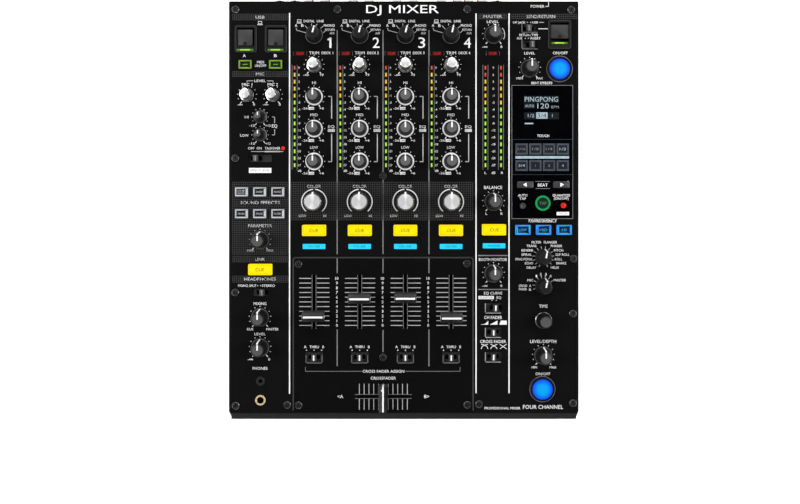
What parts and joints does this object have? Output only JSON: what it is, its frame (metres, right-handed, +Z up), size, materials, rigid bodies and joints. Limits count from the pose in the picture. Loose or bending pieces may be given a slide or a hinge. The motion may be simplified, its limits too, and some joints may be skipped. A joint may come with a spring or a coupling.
{
  "type": "dj mixer",
  "caption": "Flat black tabletop audio mixer with rows of knobs, vertical faders and a crossfader, push buttons, level meters, a display window, headphone jacks, rear sockets and rubber feet.",
  "frame": {"origin": "on the surface the mixer stands on, under the middle of its bounding box", "axes": "+Z up, -Y towards the user, +X to the user's right"},
  "size_m": [0.333, 0.414, 0.1079],
  "materials": {
    "housing": "satin",
    "panel": "satin, fine brushed",
    "screw": "black oxide",
    "rubber": "matte",
    "board": "solder mask",
    "control_body": "moulded",
    "socket": "moulded, plated contacts",
    "window": "polished",
    "silver_knob": "brushed, anodised",
    "grey_knob": "soft",
    "black_knob": "soft",
    "fader_cap": "satin",
    "cue_key": "lit, translucent",
    "key": "lit rim",
    "switch_cap": "satin"
  },
  "bodies": {
    "chassis": {"base_tray": "housing", "top_panel": "panel", "fader_plate": "panel", "rear_plate": "housing", "rubber_feet": "rubber", "panel_screws": "screw", "circuit_boards": "board", "control_bodies": "control_body", "sockets": "socket", "windows": "window"},
    "input_selector_1": {"input_selector_1": "black_knob"},
    "trim_knob_1": {"trim_knob_1": "silver_knob"},
    "high_knob_1": {"high_knob_1": "grey_knob"},
    "mid_knob_1": {"mid_knob_1": "grey_knob"},
    "low_knob_1": {"low_knob_1": "grey_knob"},
    "filter_knob_1": {"filter_knob_1": "silver_knob"},
    "input_selector_2": {"input_selector_2": "black_knob"},
    "trim_knob_2": {"trim_knob_2": "silver_knob"},
    "high_knob_2": {"high_knob_2": "grey_knob"},
    "mid_knob_2": {"mid_knob_2": "grey_knob"},
    "low_knob_2": {"low_knob_2": "grey_knob"},
    "filter_knob_2": {"filter_knob_2": "silver_knob"},
    "input_selector_3": {"input_selector_3": "black_knob"},
    "trim_knob_3": {"trim_knob_3": "silver_knob"},
    "high_knob_3": {"high_knob_3": "grey_knob"},
    "mid_knob_3": {"mid_knob_3": "grey_knob"},
    "low_knob_3": {"low_knob_3": "grey_knob"},
    "filter_knob_3": {"filter_knob_3": "silver_knob"},
    "input_selector_4": {"input_selector_4": "black_knob"},
    "trim_knob_4": {"trim_knob_4": "silver_knob"},
    "high_knob_4": {"high_knob_4": "grey_knob"},
    "mid_knob_4": {"mid_knob_4": "grey_knob"},
    "low_knob_4": {"low_knob_4": "grey_knob"},
    "filter_knob_4": {"filter_knob_4": "silver_knob"},
    "master_level_knob": {"master_level_knob": "black_knob"},
    "balance_knob": {"balance_knob": "black_knob"},
    "booth_level_knob": {"booth_level_knob": "black_knob"},
    "mic_level_knob_1": {"mic_level_knob_1": "silver_knob"},
    "mic_level_knob_2": {"mic_level_knob_2": "silver_knob"},
    "mic_high_knob": {"mic_high_knob": "black_knob"},
    "mic_low_knob": {"mic_low_knob": "black_knob"},
    "parameter_knob": {"parameter_knob": "black_knob"},
    "phones_mix_knob": {"phones_mix_knob": "black_knob"},
    "phones_level_knob": {"phones_level_knob": "black_knob"},
    "send_level_knob": {"send_level_knob": "black_knob"},
    "effect_selector": {"effect_selector": "black_knob"},
    "channel_selector": {"channel_selector": "black_knob"},
    "time_knob": {"time_knob": "black_knob"},
    "depth_knob": {"depth_knob": "black_knob"},
    "channel_fader_1": {"channel_fader_1": "fader_cap"},
    "channel_fader_2": {"channel_fader_2": "fader_cap"},
    "channel_fader_3": {"channel_fader_3": "fader_cap"},
    "channel_fader_4": {"channel_fader_4": "fader_cap"},
    "crossfader": {"crossfader": "fader_cap"},
    "cue_buttons": {"cue_buttons": "cue_key"},
    "select_buttons": {"select_buttons": "key"},
    "round_buttons": {"round_buttons": "key"},
    "three_way_switches": {"three_way_switches": "switch_cap"},
    "two_way_switches": {"two_way_switches": "switch_cap"},
    "power_button": {"power_button": "switch_cap"}
  },
  "joints": [
    {"name": "input_selector_1_turn", "type": "hinge", "parent": "chassis", "child": "input_selector_1", "pos_m": [-0.08515, 0.163, 0.0912], "axis": [0, 0, 1], "range_deg": [-57.6, 86.4]},
    {"name": "trim_knob_1_turn", "type": "hinge", "parent": "chassis", "child": "trim_knob_1", "pos_m": [-0.08515, 0.1346, 0.0912], "axis": [0, 0, 1], "range_deg": [-150, 150]},
    {"name": "high_knob_1_turn", "type": "hinge", "parent": "chassis", "child": "high_knob_1", "pos_m": [-0.08515, 0.105, 0.0912], "axis": [0, 0, 1], "range_deg": [-150, 150]},
    {"name": "mid_knob_1_turn", "type": "hinge", "parent": "chassis", "child": "mid_knob_1", "pos_m": [-0.08515, 0.0746, 0.0912], "axis": [0, 0, 1], "range_deg": [-150, 150]},
    {"name": "low_knob_1_turn", "type": "hinge", "parent": "chassis", "child": "low_knob_1", "pos_m": [-0.08515, 0.0435, 0.0912], "axis": [0, 0, 1], "range_deg": [-150, 150]},
    {"name": "filter_knob_1_turn", "type": "hinge", "parent": "chassis", "child": "filter_knob_1", "pos_m": [-0.08515, 0.0052, 0.0912], "axis": [0, 0, 1], "range_deg": [-150, 150]},
    {"name": "input_selector_2_turn", "type": "hinge", "parent": "chassis", "child": "input_selector_2", "pos_m": [-0.0418, 0.163, 0.0912], "axis": [0, 0, 1], "range_deg": [-57.6, 86.4]},
    {"name": "trim_knob_2_turn", "type": "hinge", "parent": "chassis", "child": "trim_knob_2", "pos_m": [-0.0418, 0.1346, 0.0912], "axis": [0, 0, 1], "range_deg": [-150, 150]},
    {"name": "high_knob_2_turn", "type": "hinge", "parent": "chassis", "child": "high_knob_2", "pos_m": [-0.0418, 0.105, 0.0912], "axis": [0, 0, 1], "range_deg": [-150, 150]},
    {"name": "mid_knob_2_turn", "type": "hinge", "parent": "chassis", "child": "mid_knob_2", "pos_m": [-0.0418, 0.0746, 0.0912], "axis": [0, 0, 1], "range_deg": [-150, 150]},
    {"name": "low_knob_2_turn", "type": "hinge", "parent": "chassis", "child": "low_knob_2", "pos_m": [-0.0418, 0.0435, 0.0912], "axis": [0, 0, 1], "range_deg": [-150, 150]},
    {"name": "filter_knob_2_turn", "type": "hinge", "parent": "chassis", "child": "filter_knob_2", "pos_m": [-0.0418, 0.0052, 0.0912], "axis": [0, 0, 1], "range_deg": [-150, 150]},
    {"name": "input_selector_3_turn", "type": "hinge", "parent": "chassis", "child": "input_selector_3", "pos_m": [0.00155, 0.163, 0.0912], "axis": [0, 0, 1], "range_deg": [-57.6, 86.4]},
    {"name": "trim_knob_3_turn", "type": "hinge", "parent": "chassis", "child": "trim_knob_3", "pos_m": [0.00155, 0.1346, 0.0912], "axis": [0, 0, 1], "range_deg": [-150, 150]},
    {"name": "high_knob_3_turn", "type": "hinge", "parent": "chassis", "child": "high_knob_3", "pos_m": [0.00155, 0.105, 0.0912], "axis": [0, 0, 1], "range_deg": [-150, 150]},
    {"name": "mid_knob_3_turn", "type": "hinge", "parent": "chassis", "child": "mid_knob_3", "pos_m": [0.00155, 0.0746, 0.0912], "axis": [0, 0, 1], "range_deg": [-150, 150]},
    {"name": "low_knob_3_turn", "type": "hinge", "parent": "chassis", "child": "low_knob_3", "pos_m": [0.00155, 0.0435, 0.0912], "axis": [0, 0, 1], "range_deg": [-150, 150]},
    {"name": "filter_knob_3_turn", "type": "hinge", "parent": "chassis", "child": "filter_knob_3", "pos_m": [0.00155, 0.0052, 0.0912], "axis": [0, 0, 1], "range_deg": [-150, 150]},
    {"name": "input_selector_4_turn", "type": "hinge", "parent": "chassis", "child": "input_selector_4", "pos_m": [0.0449, 0.163, 0.0912], "axis": [0, 0, 1], "range_deg": [-57.6, 86.4]},
    {"name": "trim_knob_4_turn", "type": "hinge", "parent": "chassis", "child": "trim_knob_4", "pos_m": [0.0449, 0.1346, 0.0912], "axis": [0, 0, 1], "range_deg": [-150, 150]},
    {"name": "high_knob_4_turn", "type": "hinge", "parent": "chassis", "child": "high_knob_4", "pos_m": [0.0449, 0.105, 0.0912], "axis": [0, 0, 1], "range_deg": [-150, 150]},
    {"name": "mid_knob_4_turn", "type": "hinge", "parent": "chassis", "child": "mid_knob_4", "pos_m": [0.0449, 0.0746, 0.0912], "axis": [0, 0, 1], "range_deg": [-150, 150]},
    {"name": "low_knob_4_turn", "type": "hinge", "parent": "chassis", "child": "low_knob_4", "pos_m": [0.0449, 0.0435, 0.0912], "axis": [0, 0, 1], "range_deg": [-150, 150]},
    {"name": "filter_knob_4_turn", "type": "hinge", "parent": "chassis", "child": "filter_knob_4", "pos_m": [0.0449, 0.0052, 0.0912], "axis": [0, 0, 1], "range_deg": [-150, 150]},
    {"name": "master_level_knob_turn", "type": "hinge", "parent": "chassis", "child": "master_level_knob", "pos_m": [0.0852, 0.1638, 0.0912], "axis": [0, 0, 1], "range_deg": [-150, 150]},
    {"name": "balance_knob_turn", "type": "hinge", "parent": "chassis", "child": "balance_knob", "pos_m": [0.0852, 0.0052, 0.0912], "axis": [0, 0, 1], "range_deg": [-150, 150]},
    {"name": "booth_level_knob_turn", "type": "hinge", "parent": "chassis", "child": "booth_level_knob", "pos_m": [0.0852, -0.0629, 0.0912], "axis": [0, 0, 1], "range_deg": [-150, 150]},
    {"name": "mic_level_knob_1_turn", "type": "hinge", "parent": "chassis", "child": "mic_level_knob_1", "pos_m": [-0.1487, 0.1062, 0.0912], "axis": [0, 0, 1], "range_deg": [-150, 150]},
    {"name": "mic_level_knob_2_turn", "type": "hinge", "parent": "chassis", "child": "mic_level_knob_2", "pos_m": [-0.1243, 0.1062, 0.0912], "axis": [0, 0, 1], "range_deg": [-150, 150]},
    {"name": "mic_high_knob_turn", "type": "hinge", "parent": "chassis", "child": "mic_high_knob", "pos_m": [-0.1364, 0.0857, 0.0912], "axis": [0, 0, 1], "range_deg": [-150, 150]},
    {"name": "mic_low_knob_turn", "type": "hinge", "parent": "chassis", "child": "mic_low_knob", "pos_m": [-0.1364, 0.0686, 0.0912], "axis": [0, 0, 1], "range_deg": [-150, 150]},
    {"name": "parameter_knob_turn", "type": "hinge", "parent": "chassis", "child": "parameter_knob", "pos_m": [-0.1364, -0.0314, 0.0912], "axis": [0, 0, 1], "range_deg": [-150, 150]},
    {"name": "phones_mix_knob_turn", "type": "hinge", "parent": "chassis", "child": "phones_mix_knob", "pos_m": [-0.1364, -0.1046, 0.0912], "axis": [0, 0, 1], "range_deg": [-150, 150]},
    {"name": "phones_level_knob_turn", "type": "hinge", "parent": "chassis", "child": "phones_level_knob", "pos_m": [-0.1364, -0.1332, 0.0912], "axis": [0, 0, 1], "range_deg": [-150, 150]},
    {"name": "send_level_knob_turn", "type": "hinge", "parent": "chassis", "child": "send_level_knob", "pos_m": [0.1195, 0.1318, 0.0912], "axis": [0, 0, 1], "range_deg": [-150, 150]},
    {"name": "effect_selector_turn", "type": "hinge", "parent": "chassis", "child": "effect_selector", "pos_m": [0.1325, -0.0473, 0.0912], "axis": [0, 0, 1], "range_deg": [-133.6, 155.8]},
    {"name": "channel_selector_turn", "type": "hinge", "parent": "chassis", "child": "channel_selector", "pos_m": [0.1325, -0.0749, 0.0912], "axis": [0, 0, 1], "range_deg": [-49.2, 123]},
    {"name": "time_knob_turn", "type": "hinge", "parent": "chassis", "child": "time_knob", "pos_m": [0.1325, -0.1073, 0.0912], "axis": [0, 0, 1], "continuous": true},
    {"name": "depth_knob_turn", "type": "hinge", "parent": "chassis", "child": "depth_knob", "pos_m": [0.1325, -0.1407, 0.0912], "axis": [0, 0, 1], "range_deg": [-150, 150]},
    {"name": "channel_fader_1_slide", "type": "slide", "parent": "chassis", "child": "channel_fader_1", "axis": [0, 1, 0], "range_m": [-0.0092, 0.0354]},
    {"name": "channel_fader_2_slide", "type": "slide", "parent": "chassis", "child": "channel_fader_2", "axis": [0, 1, 0], "range_m": [-0.0262, 0.0184]},
    {"name": "channel_fader_3_slide", "type": "slide", "parent": "chassis", "child": "channel_fader_3", "axis": [0, 1, 0], "range_m": [-0.0267, 0.0179]},
    {"name": "channel_fader_4_slide", "type": "slide", "parent": "chassis", "child": "channel_fader_4", "axis": [0, 1, 0], "range_m": [-0.0082, 0.0364]},
    {"name": "crossfader_slide", "type": "slide", "parent": "chassis", "child": "crossfader", "axis": [1, 0, 0], "range_m": [-0.0225, 0.0225]},
    {"name": "cue_buttons_press", "type": "slide", "parent": "chassis", "child": "cue_buttons", "axis": [0, 0, -1], "range_m": [0, 0.0012], "stiffness_N_per_m": 600, "springref_m": -0.001},
    {"name": "select_buttons_press", "type": "slide", "parent": "chassis", "child": "select_buttons", "axis": [0, 0, -1], "range_m": [0, 0.0012], "stiffness_N_per_m": 600, "springref_m": -0.001},
    {"name": "round_buttons_press", "type": "slide", "parent": "chassis", "child": "round_buttons", "axis": [0, 0, -1], "range_m": [0, 0.0012], "stiffness_N_per_m": 600, "springref_m": -0.001},
    {"name": "three_way_switches_slide", "type": "slide", "parent": "chassis", "child": "three_way_switches", "axis": [1, 0, 0], "range_m": [-0.0029, 0.0029]},
    {"name": "two_way_switches_slide", "type": "slide", "parent": "chassis", "child": "two_way_switches", "axis": [1, 0, 0], "range_m": [-0.0042, 0]},
    {"name": "power_button_press", "type": "slide", "parent": "chassis", "child": "power_button", "axis": [0, -1, 0], "range_m": [0, 0.0025], "stiffness_N_per_m": 400, "springref_m": -0.001}
  ]
}
